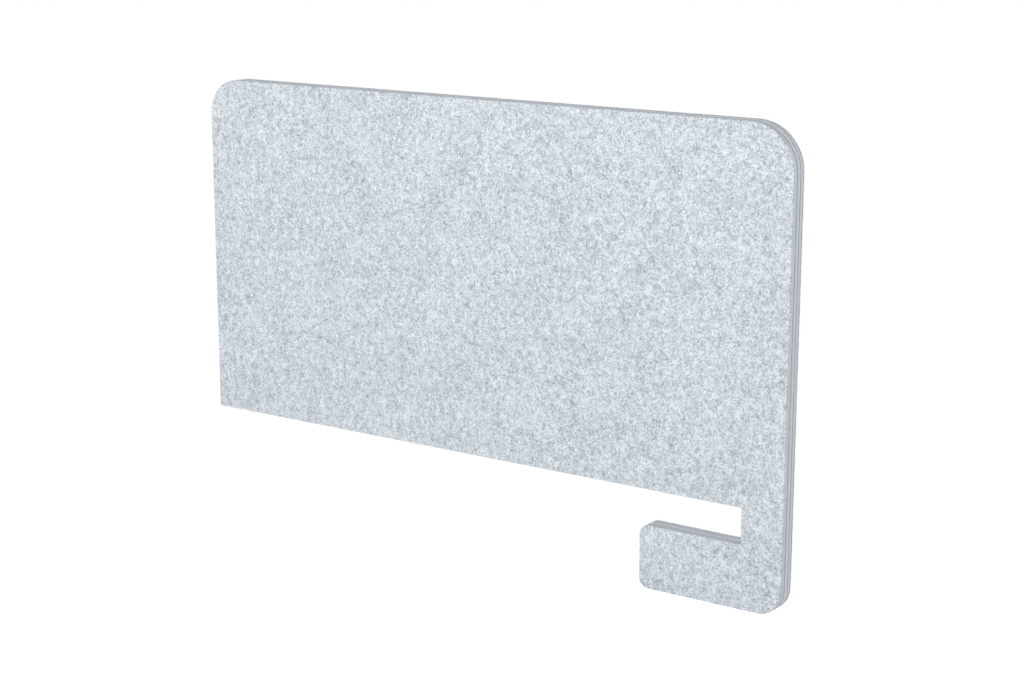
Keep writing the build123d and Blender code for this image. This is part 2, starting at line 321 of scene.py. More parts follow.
def crown_pieces():
    """The runs and the arcs of the crown line in order, each with its length."""
    pieces = []
    count = len(CORNERS)
    points = [np.array(point, float) for point, _ in CORNERS]
    ways = [points[(k + 1) % count] - points[k] for k in range(count)]
    ways = [way / np.linalg.norm(way) for way in ways]
    outs = [np.array((-way[1], way[0])) for way in ways]
    for k in range(count):
        after = (k + 1) % count
        radius, next_radius = CORNERS[k][1], CORNERS[after][1]
        length = np.linalg.norm(points[after] - points[k]) - radius - next_radius
        start = points[k] + ways[k] * radius
        pieces.append({"length": length, "start": start, "way": ways[k], "out": outs[k]})
        convex = ways[k][0] * ways[after][1] - ways[k][1] * ways[after][0] < 0
        signed = next_radius if convex else -next_radius
        centre = points[after] - ways[k] * next_radius - outs[k] * signed
        pieces.append({
            "length": next_radius * QUARTER_TURN, "centre": centre, "radius": signed,
            "first_out": outs[k], "last_out": outs[after],
        })
    return pieces


CROWN = crown_pieces()
ENDS = np.cumsum([piece["length"] for piece in CROWN])
CROWN_LENGTH = ENDS[-1]
print("crown line", round(CROWN_LENGTH), "mm round")

# %% [markdown]
# A place on the crown line is a station: its distance from the far edge's lower end, going up. From
# each station one can step inwards by an inset, and to the front or the rear by y, so every soft
# piece is a section carried along this line.

# %% Stations beside the crown line
ARC_STATIONS_LEAST = 6


def crown(stations):
    """Places on the crown line and the outward direction there, in millimetres, as (x, z) pairs."""
    stations = np.asarray(stations, float) % CROWN_LENGTH
    which = np.minimum(np.searchsorted(ENDS, stations, side="right"), len(CROWN) - 1)
    place, outward = np.zeros((len(stations), 2)), np.zeros((len(stations), 2))
    for k, piece in enumerate(CROWN):
        here = which == k
        along = stations[here] - (ENDS[k] - piece["length"])
        if "way" in piece:
            place[here] = piece["start"] + along[:, None] * piece["way"]
            outward[here] = piece["out"]
        else:
            turn = (along / piece["length"] * QUARTER_TURN)[:, None]
            outward[here] = np.cos(turn) * piece["first_out"] + np.sin(turn) * piece["last_out"]
            place[here] = piece["centre"] + piece["radius"] * outward[here]
    return place, outward


def beside_crown(stations, inset, y):
    """Points in metres, stepped inwards from the crown by an inset and to one side by y."""
    place, outward = crown(stations)
    inset, y = np.broadcast_to(inset, len(place)), np.broadcast_to(y, len(place))
    place = place - outward * inset[:, None]
    # Steps past the far lower corner's radius would cross over, so they end in a sharp corner.
    past = (inset > TIGHT_RADIUS) & (place[:, 0] < FAR_X / 2) & (place[:, 1] < TOP_Z / 2)
    place[past] = np.maximum(place[past], np.stack([FAR_X + inset, REST_Z + inset], 1)[past])
    return np.stack([place[:, 0], y, place[:, 1]], 1) * MM


def stations_at(run_step, arc_step):
    """Stations all round: evenly on each run and on each arc, so that corners stay round."""
    found = []
    for k, piece in enumerate(CROWN):
        step, fewest = (run_step, 1) if "way" in piece else (arc_step, ARC_STATIONS_LEAST)
        count = max(fewest, math.ceil(piece["length"] / step))
        found.extend(ENDS[k] - piece["length"] + piece["length"] * np.arange(count) / count)
    return np.array(found)


def section_rings(section, stations, side, shift=0):
    """Rings of points in metres: (inset, depth) pairs carried along the crown line on one side."""
    return np.concatenate([
        beside_crown(stations, inset, side * (depth + shift)) for inset, depth in section
    ])


print("a station each 8 mm makes", len(stations_at(8, 8)), "stations")

# %% [markdown]
# Three helpers turn points into meshes. The first joins rows of points into a grid of faces, which
# can close on itself either way. The last merges doubled points and turns all faces outwards, and
# the one between shades the mesh smooth and makes its object. Extruding by hand would give the same
# faces, but code can be changed and run again.

# %% Helpers for meshes


def grid_faces(rows, columns, close_rows=False, close_columns=False):
    """Faces of a grid of points that is stored row by row."""
    row = np.arange(rows if close_rows else rows - 1)[:, None]
    column = np.arange(columns if close_columns else columns - 1)[None, :]
    here, across_row = row * columns, (row + 1) % rows * columns
    beside = (column + 1) % columns
    corners = [here + column, here + beside, across_row + beside, across_row + column]
    faces = np.stack([np.broadcast_to(corner, (row.size, column.size)) for corner in corners], -1)
    return faces.reshape(-1, 4).tolist()


def to_piece(name, mesh, data):
    """Writes an edited mesh into mesh data, shades it smooth and makes its object."""
    mesh.to_mesh(data)
    mesh.free()
    data.shade_smooth()
    return add_object(name, data)


def make_piece(name, parts, materials, merge_mm=0.001):
    """One object from parts, each its points, its faces and the number of its material."""
    points, faces, numbers, first = [], [], [], 0
    for part_points, part_faces, number in parts:
        points.append(part_points)
        faces.extend([v + first for v in face] for face in part_faces)
        numbers.extend([number] * len(part_faces))
        first += len(part_points)
    data = bpy.data.meshes.new(name)
    data.from_pydata(np.concatenate(points).tolist(), [], faces)
    data.polygons.foreach_set("material_index", numbers)
    for material in materials:
        data.materials.append(material)
    mesh = bmesh.new()
    mesh.from_mesh(data)
    bmesh.ops.remove_doubles(mesh, verts=mesh.verts, dist=merge_mm * MM)
    bmesh.ops.dissolve_degenerate(mesh, edges=mesh.edges, dist=merge_mm * MM)
    bmesh.ops.recalc_face_normals(mesh, faces=mesh.faces)
    return to_piece(name, mesh, data)


print("helpers for meshes ready")

# %% [markdown]
# The flat faces of felt and fleece need points all over, so that they can be pushed out of flat.
# One big face with a hundred corners has none inside, and a square grid wouldn't meet the round
# corners. So the inside of the outline gets a grid of points that stay clear of its rim, and a
# Delaunay triangulation joins them all.

# %% Filling the outline
SAME_POINT_MM, RIM_CLEAR_SHARE = 0.01, 0.6
FACES_INSIDE_ONLY, NO_TOLERANCE = 1, 0


def fill_outline(stations, inset, y, spacing):
    """A flat sheet inside the outline at an inset: its points in metres and its triangles."""
    rim = beside_crown(stations, inset, 0)[:, [0, 2]]
    kept = np.ones(len(rim), bool)
    kept[1:] = np.linalg.norm(np.diff(rim, axis=0), axis=1) > SAME_POINT_MM * MM
    rim = rim[kept]
    rim_points = KDTree(len(rim))
    for k, (x, z) in enumerate(rim):
        rim_points.insert((x, 0, z), k)
    rim_points.balance()
    low, high, step = rim.min(0), rim.max(0), spacing * MM
    across_x, across_z = (np.arange(low[k] + step / 2, high[k], step) for k in (0, 1))
    inner = [
        (x, z) for x in across_x for z in across_z
        if rim_points.find((x, 0, z))[2] > RIM_CLEAR_SHARE * step
    ]
    edges = [(k, (k + 1) % len(rim)) for k in range(len(rim))]
    corners = [Vector(p) for p in [*rim.tolist(), *inner]]
    filled = delaunay_2d_cdt(corners, edges, [], FACES_INSIDE_ONLY, NO_TOLERANCE)
    used = sorted({v for face in filled[2] for v in face})
    renumber = {v: k for k, v in enumerate(used)}
    flat = np.array([filled[0][v] for v in used])
    points = np.stack([flat[:, 0], np.full(len(flat), y * MM), flat[:, 1]], 1)
    return points, [[renumber[v] for v in face] for face in filled[2]]


print("outline can be filled")

# %% [markdown]
# Each cover is a sheet of felt with a soft round edge, which ends where the zip's tape begins. It
# could be one flat plate with a bevel, but the felt lies over a layer of fleece and is held only at
# the rim. So the sheet is made finely enough to move: rings follow the rim and the round edge, and
# a triangulated field fills the face.

# %% Felt sheets
HALF_THICKNESS, FELT_RIM, FELT_INSET, FELT_EDGE = 15, 12.3, 0.2, 1.6
RIM_LIP_IN, RIM_LIP_HIGH = 0.06, 0.15
EDGE_RINGS, FACE_RING_INSETS = 9, (3.4, 5.8, 9)
FACE_STEP, ARC_STEP = 6, 3
COVER_STATIONS = stations_at(FACE_STEP, ARC_STEP)


def felt_section():
    """The outer line of the felt in section, as (inset, depth from the middle) pairs, rim first."""
    rim = [(FELT_INSET + RIM_LIP_IN, FELT_RIM), (FELT_INSET, FELT_RIM + RIM_LIP_HIGH)]
    bend = [
        (FELT_INSET + FELT_EDGE * (1 - math.cos(a)), HALF_THICKNESS - FELT_EDGE * (1 - math.sin(a)))
        for a in np.linspace(0, QUARTER_TURN, EDGE_RINGS)
    ]
    return rim + bend + [(inset, HALF_THICKNESS) for inset in FACE_RING_INSETS]


def felt_sheet(name):
    """The outer surface of the front cover."""
    section = felt_section()
    rings = section_rings(section, COVER_STATIONS, -1)
    parts = [
        (rings, grid_faces(len(section), len(COVER_STATIONS), close_columns=True), 0),
        (*fill_outline(COVER_STATIONS, section[-1][0], -HALF_THICKNESS, FACE_STEP), 0),
    ]
    return make_piece(name, parts, [felt], merge_mm=0.01)


front_cover = felt_sheet("front_cover_felt")
print(front_cover.name, len(front_cover.data.vertices), "points")

# %% [markdown]
# The fleece below presses the felt out a little, so a cover is not a flat plate. Its face rises
# softly from the seam and pulls straight again along the sides. The shape could be drawn with a
# formula, but a cloth simulation finds it from the cause: the edge is held, the fleece pushes, and
# the felt's stiffness answers. The result is capped at 0.9 mm, which is as far as a thin fleece can
# rise, and is then written into the mesh, so no simulation is left in the model.

# %% Felt pushed out by the fleece
RISE_CAP_MM, CLOTH_FRAMES, FLAT_WITHIN_MM = 0.9, 20, 0.01
CLOTH = {
    "quality": 6, "mass": 0.004, "air_damping": 4,
    "tension_stiffness": 40, "compression_stiffness": 40,
    "shear_stiffness": 20, "bending_stiffness": 8,
    "vertex_group_mass": "held", "use_pressure": True, "uniform_pressure_force": 1.2,
}


def pushed_out(piece):
    """The points of a sheet before and after the fleece pushes it, in metres."""
    trial = piece.copy()
    trial.data = piece.data.copy()
    scene.collection.objects.link(trial)
    held = trial.vertex_groups.new(name="held")
    flat_depth = (HALF_THICKNESS - FLAT_WITHIN_MM) * MM
    held.add([v.index for v in trial.data.vertices if abs(v.co.y) < flat_depth], 1, "REPLACE")
    cloth = trial.modifiers.new("cloth", "CLOTH")
    for setting, value in CLOTH.items():
        setattr(cloth.settings, setting, value)
    cloth.settings.effector_weights.gravity = 0
    cloth.collision_settings.use_collision = False
    cloth.point_cache.frame_end = CLOTH_FRAMES
    for number in range(1, CLOTH_FRAMES + 1):
        scene.frame_set(number)
    result = trial.evaluated_get(bpy.context.evaluated_depsgraph_get())
    before, after = (np.empty(len(piece.data.vertices) * 3) for _ in range(2))
    piece.data.vertices.foreach_get("co", before)
    result.data.vertices.foreach_get("co", after)
    scene.frame_set(1)
    bpy.data.objects.remove(trial)
    return before.reshape(-1, 3), after.reshape(-1, 3)


before, after = pushed_out(front_cover)
rise = (before - after)[:, 1]
print("cloth rises by", round(rise.min() / MM, 2), "to", round(rise.max() / MM, 2), "mm")
cap = RISE_CAP_MM * MM
before[:, 1] -= cap * np.tanh(np.maximum(rise, 0) / cap)
front_cover.data.vertices.foreach_set("co", before.ravel())
front_cover.data.update()
print("rise after the cap", round((-before[:, 1]).max() / MM - HALF_THICKNESS, 2), "mm")

# %% [markdown]
# The rear cover is cut from the same pattern turned over. It could be made and pushed out once
# more, but it is quicker and more even to mirror the finished front one.

# %% Rear cover
rear_cover = front_cover.copy()
rear_cover.name = "rear_cover_felt"
rear_cover.data = front_cover.data.copy()
rear_cover.data.transform(Matrix.Scale(-1, 4, (0, 1, 0)))
rear_cover.data.flip_normals()
scene.collection.objects.link(rear_cover)
covers = {"front": front_cover, "rear": rear_cover}
print(rear_cover.name, "is the mirror image of", front_cover.name)

# %% [markdown]
# The felt is 1.5 mm thick and dense. Its inner side could be drawn as well, but a modifier does it
# from one number: it adds the inner side parallel to the outer one and closes the rim, so the cut
# edge of the felt is there too.

# %% Thickness of the covers
FELT_MM = 1.5
for piece in covers.values():
    thickness = piece.modifiers.new("felt thickness", "SOLIDIFY")
    thickness.thickness = FELT_MM * MM
    thickness.offset = -1
    thickness.use_even_offset = True
print("felt", FELT_MM, "mm thick")

# %% [markdown]
# Each cover stands in for a CAD solid of the same place, and it moves with the screen. It is a
# sheet stretched over the fleece, cut to the outline with 3 mm for the turned rim and 10 mm for the
# seam all round.

# %% Covers ride on the screen
for name, piece in covers.items():
    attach(piece, "screen")
    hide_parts(f"{name}_cover")

# %% [markdown]
# Under the felt lies a thin layer of needled fleece, which makes the face feel soft and hides the
# joints of the frame. It is a sheet cut a little smaller than the felt. It could be filled with
# modelled fibres, but nobody sees it until the cover comes off. So it is one closed sheet with soft
# edges that rises and falls by a few tenths of a millimetre. Its fibres are far finer than a render
# can show, so they are drawn as a soft speckle of 2.5 mm.

# %% Finish and sheets of fleece
FLEECE_INSET, FLEECE_LOW, FLEECE_HIGH, FLEECE_EDGE = 2.35, 12.0, 13.4, 0.4
FLEECE_STEP, FLEECE_WAVE_MM, FLEECE_WAVE_LENGTH = 12, 0.12, 42
# Uneven factors keep the waves along x and z from lining up.
WAVE_X, WAVE_Z = 2.1, 1.7
FACE_WITHIN_MM = 0.1
SIDES = (("front", -1), ("rear", 1))

fleece = make_streaked(
    "polyester_fleece_needled", ("#E2E2DF", "#F3F3F1"), streak_mm=(2.5, 2.5, 2.5), depth_mm=0.4,
    Roughness=1.0, Specular_IOR_Level=0.1, Sheen_Weight=0.4,
)


def fleece_sheet(name, side):
    """The fleece on one side of the frame, as a closed sheet."""
    stations = stations_at(FLEECE_STEP, FLEECE_STEP / 2)
    section = [
        (FLEECE_INSET, FLEECE_LOW),
        (FLEECE_INSET, FLEECE_HIGH - FLEECE_EDGE),
        (FLEECE_INSET + FLEECE_EDGE, FLEECE_HIGH),
    ]
    rings = section_rings(section, stations, side)
    parts = [(rings, grid_faces(len(section), len(stations), close_columns=True), 0)]
    for inset, depth in (section[0], section[-1]):
        parts.append((*fill_outline(stations, inset, side * depth, FLEECE_STEP), 0))
    piece = make_piece(name, parts, [fleece])
    for vertex in piece.data.vertices:
        x, _, z = vertex.co / (FLEECE_WAVE_LENGTH * MM)
        if abs(vertex.co.y) > (FLEECE_HIGH - FACE_WITHIN_MM) * MM:
            wave = 1 + math.sin(x * WAVE_X + z) * math.cos(z * WAVE_Z - x)
            vertex.co.y -= side * FLEECE_WAVE_MM * MM * wave
    return piece


for name, side in SIDES:
    piece = fleece_sheet(f"{name}_fleece_sheet", side)
    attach(piece, "screen")
    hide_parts(f"{name}_fleece")
    print(piece.name, len(piece.data.vertices), "points")

# %% [markdown]
# The bays of the frame hold boards of pressed polyester fibre, the part of the screen that takes up
# sound. The fibres lie flat and give the boards a matt, cloudy grey. Such a board is cut with a
# knife, so its edges are a little rounded and its faces are not quite flat. A box with bevelled
# edges would do from afar. Here the box is divided first, so that its faces can sink by up to two
# tenths of a millimetre.

# %% Finish and dividing of pressed fibre
BOARD_STEP = 24

fibre_board = make_streaked(
    "polyester_fibre_pressed", ("#BFC2C6", "#DADCDE"), streak_mm=(4, 1.5, 4), depth_mm=0.5,
    Roughness=1.0, Specular_IOR_Level=0.1,
)


def divided_box(size):
    """A box about the origin, cut across its two long sides into pieces of about BOARD_STEP."""
    mesh = bmesh.new()
    bmesh.ops.create_cube(mesh, size=2)
    bmesh.ops.scale(mesh, vec=size, verts=mesh.verts)
    for axis in (0, 2):
        count = int(size[axis] * 2 / (BOARD_STEP * MM))
        normal = Vector((0, 0, 0))
        normal[axis] = 1
        for k in range(1, count):
            at = Vector((0, 0, 0))
            at[axis] = -size[axis] + 2 * size[axis] * k / count
            everything = mesh.verts[:] + mesh.edges[:] + mesh.faces[:]
            bmesh.ops.bisect_plane(mesh, geom=everything, plane_co=at, plane_no=normal)
    return mesh


print("finish", fibre_board.name, "boards divided each", BOARD_STEP, "mm")

# %% [markdown]
# A knife leaves an edge that is nearly sharp, so the bevel is only 1 mm. The dents are slow waves
# of two directions multiplied, which never repeat over a board and need no random numbers.

# %% Boards of pressed fibre
BOARD_EDGE_MM, BOARD_EDGE_STEPS, BOARD_CLEAR_MM = 1.0, 3, 0.3
BOARD_DENT_MM, DENT_RISE, DENT_FALL = 0.2, (31, 17), (43, 11)
SHARP_EDGE_ANGLE, FACE_SHARE = 1, 0.9


def fibre_board_piece(name, node):
    """A board with eased edges and slightly uneven faces, inside the box of its CAD node."""
    low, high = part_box(node)
    middle, half = (low + high) / 2, (high - low) / 2
    clear = BOARD_CLEAR_MM * MM
    size = Vector([h - clear for h in half])
    mesh = divided_box(size)
    bmesh.ops.bevel(
        mesh, geom=[edge for edge in mesh.edges if edge.calc_face_angle(0) > SHARP_EDGE_ANGLE],
        offset=BOARD_EDGE_MM * MM, segments=BOARD_EDGE_STEPS, profile=0.5, affect="EDGES",
    )
    for vertex in mesh.verts:
        x, y, z = vertex.co
        rise = math.sin(x * DENT_RISE[0] + z * DENT_RISE[1])
        fall = math.cos(z * DENT_FALL[0] - x * DENT_FALL[1])
        dent = BOARD_DENT_MM * MM * (0.5 + 0.5 * rise * fall)
        vertex.co.y -= math.copysign(dent, y) * (abs(y) > size[1] * FACE_SHARE)
        vertex.co += middle
    data = bpy.data.meshes.new(name)
    data.materials.append(fibre_board)
    return to_piece(name, mesh, data)


for node in ("far_infill", "leg_infill"):
    piece = fibre_board_piece(f"{node}_board", node)
    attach(piece, "screen")
    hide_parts(node)
    print(piece.name, [round(length, 3) for length in piece.dimensions])

# %% [markdown]
# The zip's two tapes cover most of the screen's edge. Each is sewn to the rim of one cover, right
# side to right side, so that no stitch shows outside, and it ends beside the coil with a firm woven
# selvedge. A narrow groove is left between the selvedge and the coil, and it reads as a thin dark
# line from afar. A painted line could stand for it, but a real groove shades itself from every
# side. The tape lies nearly level with the felt's edge, so the two read as one plain band, and it
# is thin enough to run in the slit between the slider's two wings.

# %% Tapes
TAPE_MM, TAPE_INSET, SELVEDGE_Y, TAPE_SEAM_Y, UNDERSIDE_BACK = 0.7, 0.6, 5.6, 12.22, 0.15
# Steps in from the tape's inset, with the depth from the middle, or from the selvedge.
TAPE_FACE = ((0.1, TAPE_SEAM_Y), (0, 12), (0, 10.2), (0, 8.2), (0, 6.3))
SELVEDGE_ROUND = ((-0.03, 0.4), (-0.02, 0.2), (0.12, 0), (0.4, 0))
TAPE_STATIONS = stations_at(8, 1.5)


def tape_section():
    """The closed section of one tape, as (inset, depth) pairs."""
    face = [(TAPE_INSET + step, depth) for step, depth in TAPE_FACE]
    selvedge = [(TAPE_INSET + step, SELVEDGE_Y + back) for step, back in SELVEDGE_ROUND]
    under = TAPE_INSET + TAPE_MM
    return face + selvedge + [(under, SELVEDGE_Y + UNDERSIDE_BACK), (under, TAPE_SEAM_Y)]


def carried_section(section, stations, side, closed_loop, shift=0):
    """A closed section carried along the crown line: points and faces."""
    rings = section_rings(section, stations, side, shift)
    faces = grid_faces(len(section), len(stations), close_rows=True, close_columns=closed_loop)
    if closed_loop:
        return rings, faces
    count = len(stations)
    ends = [[k * count + end for k in range(len(section))] for end in (0, count - 1)]
    return rings, faces + ends


for name, side in SIDES:
    points, faces = carried_section(tape_section(), TAPE_STATIONS, side, True)
    piece = make_piece(f"{name}_tape_woven", [(points, faces, 0)], [tape_woven])
    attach(piece, "screen")
    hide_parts(f"{name}_zip_tape")
    print(piece.name, len(piece.data.vertices), "points")

# %% [markdown]
# Each half of the zip is a coil: one filament wound into flat loops round a filler cord and sewn
# down on the tape's edge. The loops of the two halves interlock in the middle. A strip with a bump
# map could stand for them, but the real loops catch the light one by one, so the filament is
# modelled as it is wound. The pitch of 2.4 mm and the filament of 1 mm are those of a heavy
# upholstery zip. The tube has six sides, so it is 1 mm across its flats and 1.15 mm across its
# corners.

# %% Winding of the coil
COIL_PITCH, FILAMENT, FILAMENT_SIDES = 2.4, 1.15, 6
LOOP_ALONG, LOOP_INSET, LOOP_DEPTH = np.array([  # in pitches along the edge, inset, from the middle
    (0.00, 0.86, 3.70),
    (0.00, 0.68, 1.90),
    (0.00, 0.66, -0.30),
    (0.05, 0.95, -0.80),
    (0.11, 1.75, -0.80),
    (0.17, 2.10, -0.30),
    (0.86, 2.10, 3.70),
    (0.95, 1.50, 3.98),
]).T
HEAD_REACH = 0.8


def turns_between(first, last, half_turn):
    """The numbers of the loops between two stations. Half a turn sets the two halves off."""
    first_turn = math.ceil(first / COIL_PITCH - half_turn)
    return np.arange(first_turn, math.floor(last / COIL_PITCH - half_turn))


def wound_filament(first, last, side, half_turn, shift, reach):
    """The filament between two stations, as a tube, with the loops shifted and reaching as told."""
    turns = turns_between(first, last, half_turn)
    along = ((turns[:, None] + half_turn + LOOP_ALONG) * COIL_PITCH).ravel()
    inset, depth = np.tile(LOOP_INSET, len(turns)), np.tile(LOOP_DEPTH, len(turns))
    depth = np.where(depth < 0, depth * reach(along) / HEAD_REACH, depth) + shift(along)
    path = beside_crown(along, inset, side * depth)
    _, outward = crown(along)
    edge_way = np.stack([outward[:, 1], np.zeros(len(along)), -outward[:, 0]], 1)
    way = np.gradient(path, axis=0)
    way /= np.linalg.norm(way, axis=1)[:, None]
    first_side = edge_way - way * (edge_way * way).sum(1)[:, None]
    first_side /= np.linalg.norm(first_side, axis=1)[:, None]
    second_side = np.cross(way, first_side)
    angles = (np.arange(FILAMENT_SIDES) * 2 * math.pi / FILAMENT_SIDES)[None, :, None]
    radius = FILAMENT / 2 * MM
    tube = path[:, None] + radius * (
        np.cos(angles) * first_side[:, None] + np.sin(angles) * second_side[:, None]
    )
    faces = grid_faces(len(path), FILAMENT_SIDES, close_columns=True)
    last_ring = (len(path) - 1) * FILAMENT_SIDES
    faces += [list(range(FILAMENT_SIDES)), [last_ring + k for k in range(FILAMENT_SIDES)]]
    return tube.reshape(-1, 3), faces


print("loops in each half", int(CROWN_LENGTH / COIL_PITCH))

# %% [markdown]
# The loops are wound round a spun filler cord, which they press flat, and the tape's edge runs
# below them as a strip. A row of lockstitch holds the coil down on it. The thread dives between the
# loops and comes up over each, so its path is a wave. A straight thread laid on the loops would be
# simpler, but from close by it would hang over the gaps.

# %% Strip, cord and stitches of the coil
STRIP = [  # closed sections, as (inset, depth from the middle)
    (1.32, 7.2), (1.32, 5.6), (1.45, 4.98), (2.5, 4.8), (2.62, 4.2), (2.6, 0.5),
    (2.78, 0.3), (2.95, 0.5), (2.95, 4.85), (1.72, 5.05), (1.7, 7.2),
]
TONGUE = [(2.7, 0.65), (2.7, 4.1), (2.88, 4.1), (2.88, 0.65)]
CORD = [(0.9, 1.1), (0.86, 2.2), (1.02, 3.3), (1.5, 3.5), (1.8, 3.2), (1.8, 1.1), (1.36, 0.7)]
THREAD_RADIUS, THREAD_DEPTH, THREAD_SIDES = 0.12, 2.9, 4
THREAD_ALONG, THREAD_INSET = np.array([(0.0, 0.06), (0.25, 0.35), (0.5, 0.75), (0.75, 0.35)]).T


def along_crown(section, first, last, side, shift):
    """A closed section carried over one stretch of the crown line."""
    stations = [s for s in [*TAPE_STATIONS, *(TAPE_STATIONS + CROWN_LENGTH)] if first < s < last]
    stations = np.array([first, *stations, last])
    return carried_section(section, stations, side, False, shift(stations))


def lockstitch(first, last, side, half_turn, shift):
    """The thread over and between the loops, as a thin tube of square section."""
    turns = turns_between(first, last, half_turn)
    along = ((turns[:, None] + half_turn + THREAD_ALONG) * COIL_PITCH).ravel()
    inset = np.tile(THREAD_INSET, len(turns))
    rings = []
    for a in np.arange(THREAD_SIDES) * QUARTER_TURN:
        lift, sway = THREAD_RADIUS * math.cos(a), THREAD_RADIUS * math.sin(a)
        depth = THREAD_DEPTH + sway + shift(along)
        rings.append(beside_crown(along, inset + lift, side * depth))
    count = len(along)
    faces = grid_faces(THREAD_SIDES, count, close_rows=True)
    ends = [[k * count + end for k in range(THREAD_SIDES)] for end in (0, count - 1)]
    return np.concatenate(rings), faces + ends


print("stitches in each half", int(CROWN_LENGTH / COIL_PITCH), "of thread", THREAD_RADIUS * 2, "mm")

# %% [markdown]
# When the slider moves up the far edge, it leaves an open zip below it. So the coil there is in
# pieces of its own: the tail under the parked slider, the run above it, and the short neck that
# lies in the slider's mouth when the zip is open. The rest of the coil, the loop, goes round the
# screen in one piece. Under the parked slider the halves already stand apart and their loops stay
# back from its wedge.

# %% Stretches of the coil
SLIDER_TRAVEL = 410
MOUTH_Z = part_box("zip_slider")[0].z / MM
SPLIT_Z, SPREAD_MM, SPREAD_MOST = 37.73, 2.2, 1.3
WEDGE_BACK, WEDGE_FADE = 0.2, 3
END_STOP_LOW_Z, START_STOP_TOP_Z = 26, 21


def far_station(height):
    """The station of a height on the far edge."""
    return height - TIGHT_RADIUS


def tail_shift(stations):
    """How far the halves stand apart below the slider's split."""
    below = (far_station(SPLIT_Z) - stations) / (SPLIT_Z - MOUTH_Z)
    return SPREAD_MM * np.clip(below, 0, SPREAD_MOST)


def tail_reach(stations):
    """In the tail, the heads stay back from the wedge of the slider."""
    below = np.clip((far_station(SPLIT_Z) - stations) / WEDGE_FADE, 0, 1)
    return HEAD_REACH - (HEAD_REACH + WEDGE_BACK) * below


def strip_shift(stations):
    """The two strips come together again between the end stops and the start stop."""
    rise = (stations - far_station(START_STOP_TOP_Z)) / (END_STOP_LOW_Z - START_STOP_TOP_Z)
    return tail_shift(stations) * np.clip(rise, 0, 1)


def closed(stations):
    """Where the zip is closed, the halves stand no further apart."""
    return np.zeros(len(stations))


def full_reach(stations):
    """Where the zip is closed, the heads reach past the middle."""
    return np.full(len(stations), HEAD_REACH)


TAIL_FIRST, RUN_FIRST = far_station(END_STOP_LOW_Z), far_station(SPLIT_Z)
NECK_FIRST = far_station(MOUTH_Z + SLIDER_TRAVEL)
LOOP_FIRST = far_station(SPLIT_Z + SLIDER_TRAVEL)
LOOP_LAST = CROWN_LENGTH + far_station(START_STOP_TOP_Z)
STRETCHES = [  # name, first and last station, shift, reach
    ("tail", TAIL_FIRST, RUN_FIRST, tail_shift, tail_reach),
    ("run", RUN_FIRST, NECK_FIRST, closed, full_reach),
    ("neck", NECK_FIRST, LOOP_FIRST, closed, full_reach),
    ("loop", LOOP_FIRST, LOOP_LAST, closed, full_reach),
]
print("stretches", [(name, round(last - first, 1)) for name, first, last, _, _ in STRETCHES], "mm")

# %% [markdown]
# Each stretch that the slider passes moves apart as the slider goes up. For that, a slanting plane
# is listed for each: the further a point lies from it, the further it is to move, so that the
# halves open in a narrow V instead of shifting as a whole. Here these stretches only get mesh data
# of their own and are not moved. A short tongue inside the strip reaches from the run into the
# tail, so that no gap opens between them.

# %% Coils with their strips, cords and stitches
OPENINGS = {  # share that is kept, slant of the way to the side and upwards, height of the anchor
    "tail": (0.75, 0.76, 0.65, 28.5),
    "run": (0.95, 0.9986, 0.053, -394),
    "neck": (0.4, 0.907, -0.42, 447.73),
}
ANCHOR_DEPTH, TONGUE_HALF_LENGTH = 2.4, 1.6
COIL_FINISHES = [coil_filament, tape_woven, sewing_thread]
DRAWN, WOVEN, SPUN = 0, 1, 2

for half_name, side, half_turn in (("front", -1, 0.0), ("rear", 1, 0.5)):
    for name, first, last, shift, reach in STRETCHES:
        strip_first, strip_way = first, shift
        if name == "tail":
            strip_first, strip_way = far_station(START_STOP_TOP_Z), strip_shift
        parts = [
            (*wound_filament(first, last, side, half_turn, shift, reach), DRAWN),
            (*along_crown(STRIP, strip_first, last, side, strip_way), WOVEN),
            (*along_crown(CORD, first, last, side, shift), SPUN),
            (*lockstitch(first, last, side, half_turn, shift), SPUN),
        ]
        if name == "run":
            tongue_ends = first - TONGUE_HALF_LENGTH, first + TONGUE_HALF_LENGTH
            parts.append((*along_crown(TONGUE, *tongue_ends, side, shift), WOVEN))
        piece = make_piece(f"{half_name}_coil_{name}", parts, COIL_FINISHES)
        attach(piece, "screen")
        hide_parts(f"{half_name}_zip_chain")
        if name in OPENINGS:
            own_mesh(piece)
        print(piece.name, len(piece.data.vertices), "points")

# %% [markdown]
# The timber under the covers is seen only when they come off, but it is part of the model. The
# rails and stiles are planed pine, with growth rings round a heart that lies outside each board,
# and the tenons are beech. The hook board is birch plywood: its plies lie across the thickness, so
# they show as stripes on the edges and as plain veneer on the faces. A picture of planks would look
# cut off at the boards' ends, so the rings and plies are solid patterns that run through the wood.

# %% Finishes: timber
RING_MM, GRAIN_LENGTH, FIBRE_ACROSS_MM, FIBRE_ALONG_MM, PLY_MM = 4.5, 30, 0.6, 24, 1.85
PLY_WIDTH_MM, HEART_AWAY, PORE_MM, FIBRE_IN_TIMBER = 2000, (7, 7, 7), 0.05, 0.6
PLY_WAVINESS, RING_WAVINESS = 0.1, 4


